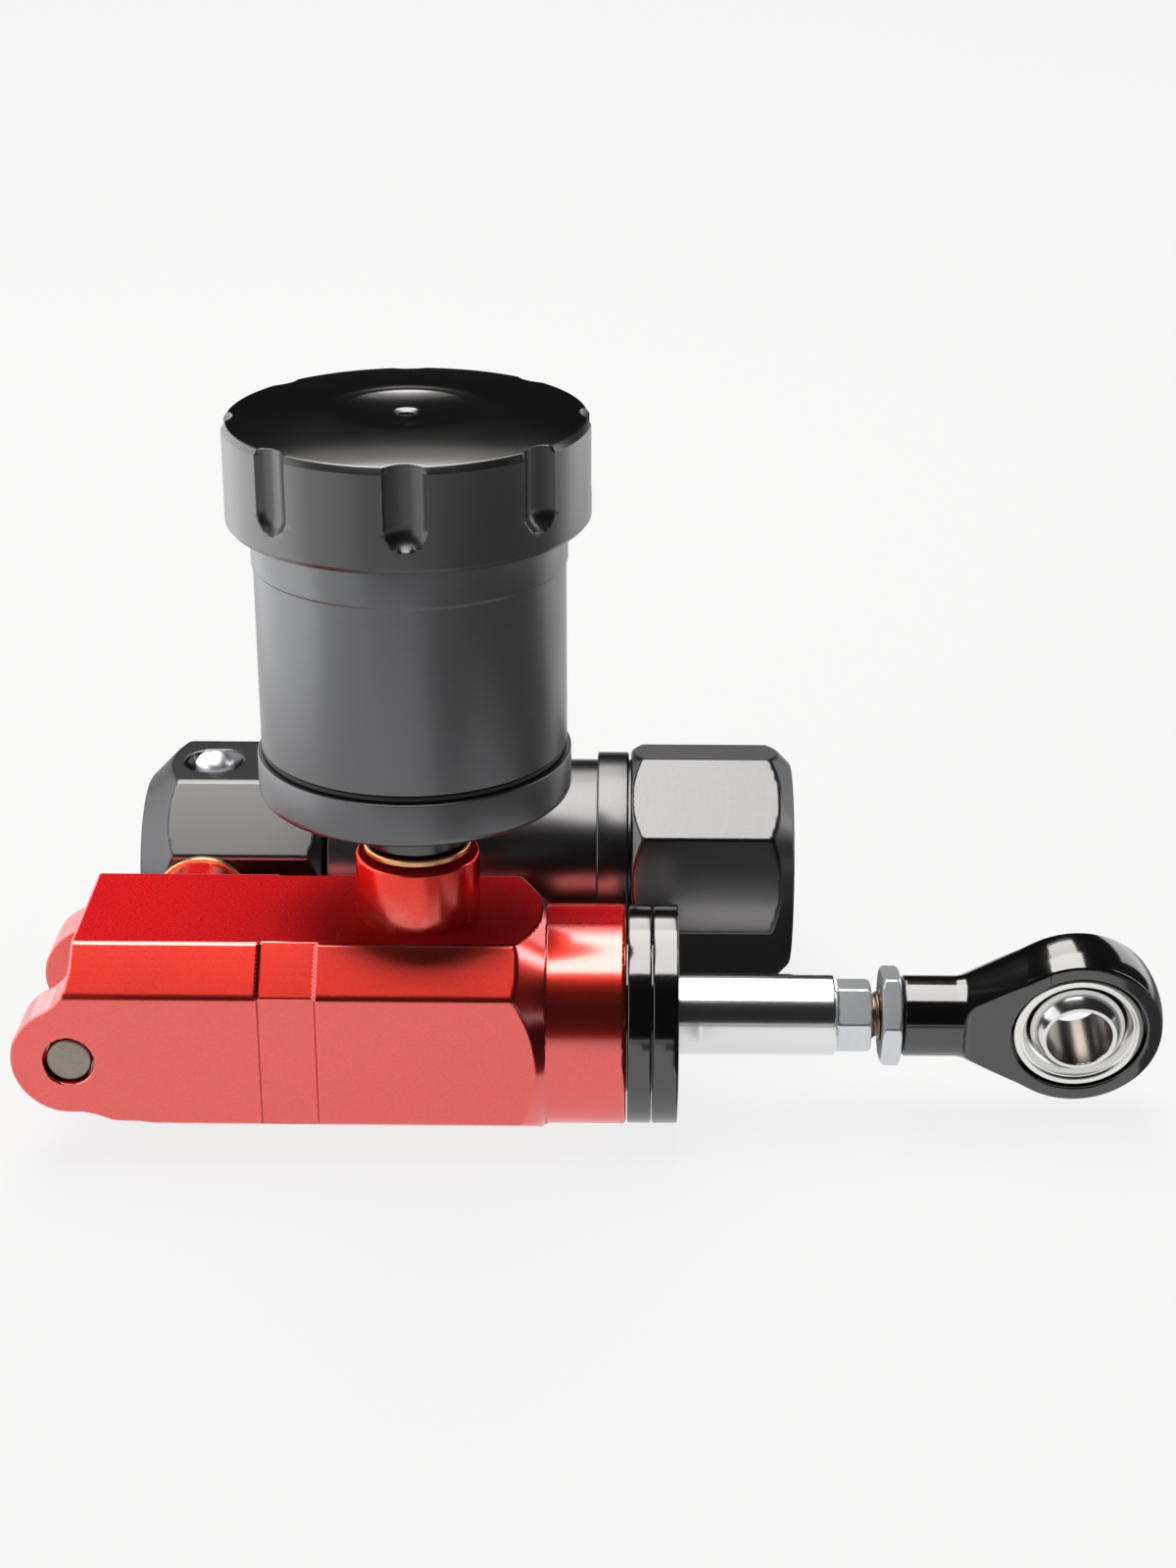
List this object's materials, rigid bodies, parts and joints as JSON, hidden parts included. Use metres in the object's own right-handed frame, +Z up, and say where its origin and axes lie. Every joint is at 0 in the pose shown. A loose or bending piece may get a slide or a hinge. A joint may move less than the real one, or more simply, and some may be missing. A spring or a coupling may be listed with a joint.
{
  "type": "hydraulic brake master cylinder",
  "caption": "Red fork-mounted brake master cylinder with screw-top reservoir, chrome pushrod with spherical rod end, and a black slave cylinder fed through a side port.",
  "frame": {"origin": "on the foot of the master body, straight under the point where the reservoir's axis meets the bore's axis", "axes": "+X along the master bore towards the pushrod, +Y from the master to the slave cylinder, +Z up along the reservoir"},
  "size_m": [0.1398, 0.0754, 0.0912],
  "materials": {
    "red_anodised": "red anodised, fine bead blast",
    "black_anodised": "gloss black anodised",
    "grey_anodised": "dark grey anodised, turned",
    "satin_black": "satin black anodised",
    "chrome": "polished chrome",
    "steel": "plain steel",
    "copper": "soft copper",
    "bronze": "sintered bronze",
    "aluminium": "plain turned aluminium",
    "rubber": "moulded rubber",
    "silicone": "orange silicone",
    "polyurethane": "amber polyurethane"
  },
  "bodies": {
    "base": {"master_body": "red_anodised", "clevis_pin": "steel", "gland_lock_ring": "black_anodised", "gland_nut": "black_anodised", "gland_o_ring": "rubber", "rod_guide_bush": "bronze", "rod_wiper": "rubber", "return_spring": "steel", "reservoir_washer": "copper", "reservoir_stem": "satin_black", "stem_nut": "steel", "reservoir_base": "grey_anodised", "base_o_ring": "rubber", "reservoir_tube": "grey_anodised", "cap_o_ring": "silicone", "diaphragm": "rubber", "port_nipple": "steel", "port_washer": "copper", "slave_block": "satin_black", "slave_tube": "satin_black", "slave_lock_ring": "satin_black", "slave_cap": "satin_black", "guide_pin": "steel", "bleed_plug": "chrome", "elastomer_outer": "polyurethane"},
    "pushrod_group": {"pushrod": "chrome", "piston": "aluminium", "primary_cup": "rubber", "secondary_cup": "rubber", "spring_seat": "steel", "jam_nut": "steel", "rod_end_housing": "black_anodised", "rod_end_race": "steel"},
    "ball": {"rod_end_ball": "chrome"},
    "slave_piston_group": {"slave_piston": "aluminium", "slave_seal": "rubber"},
    "washer_group": {"stack_washer": "steel", "elastomer_inner": "polyurethane"},
    "cap_carrier": {"slip_ring": "aluminium"},
    "cap": {"reservoir_cap": "black_anodised"}
  },
  "joints": [
    {"name": "pushrod_slide", "type": "slide", "parent": "base", "child": "pushrod_group", "axis": [-1, 0, 0], "range_m": [0, 0.012], "stiffness_N_per_m": 1500, "springref_m": -0.006, "deforming": ["return_spring"]},
    {"name": "rod_end_swivel", "type": "hinge", "parent": "pushrod_group", "child": "ball", "pos_m": [0.0809, 0, 0.0138], "axis": [0, 0.9863, 0.165], "continuous": true},
    {"name": "slave_piston_slide", "type": "slide", "parent": "base", "child": "slave_piston_group", "axis": [1, 0, 0], "range_m": [0, 0.0077], "deforming": ["elastomer_inner"]},
    {"name": "stack_washer_slide", "type": "slide", "parent": "base", "child": "washer_group", "axis": [1, 0, 0], "range_m": [0, 0.00385], "deforming": ["elastomer_outer"]},
    {"name": "cap_lift", "type": "slide", "parent": "base", "child": "cap_carrier", "axis": [0, 0, 1], "range_m": [0, 0.0046]},
    {"name": "cap_turn", "type": "hinge", "parent": "cap_carrier", "child": "cap", "pos_m": [0, 0, 0.08], "axis": [0, 0, 1], "range_deg": [0, 1080]}
  ],
  "couplings": [
    {"joint": "slave_piston_slide", "follows": "pushrod_slide", "ratio": 0.64},
    {"joint": "stack_washer_slide", "follows": "pushrod_slide", "ratio": 0.32},
    {"joint": "cap_lift", "follows": "cap_turn", "m_per_rad": 0.00023873}
  ]
}
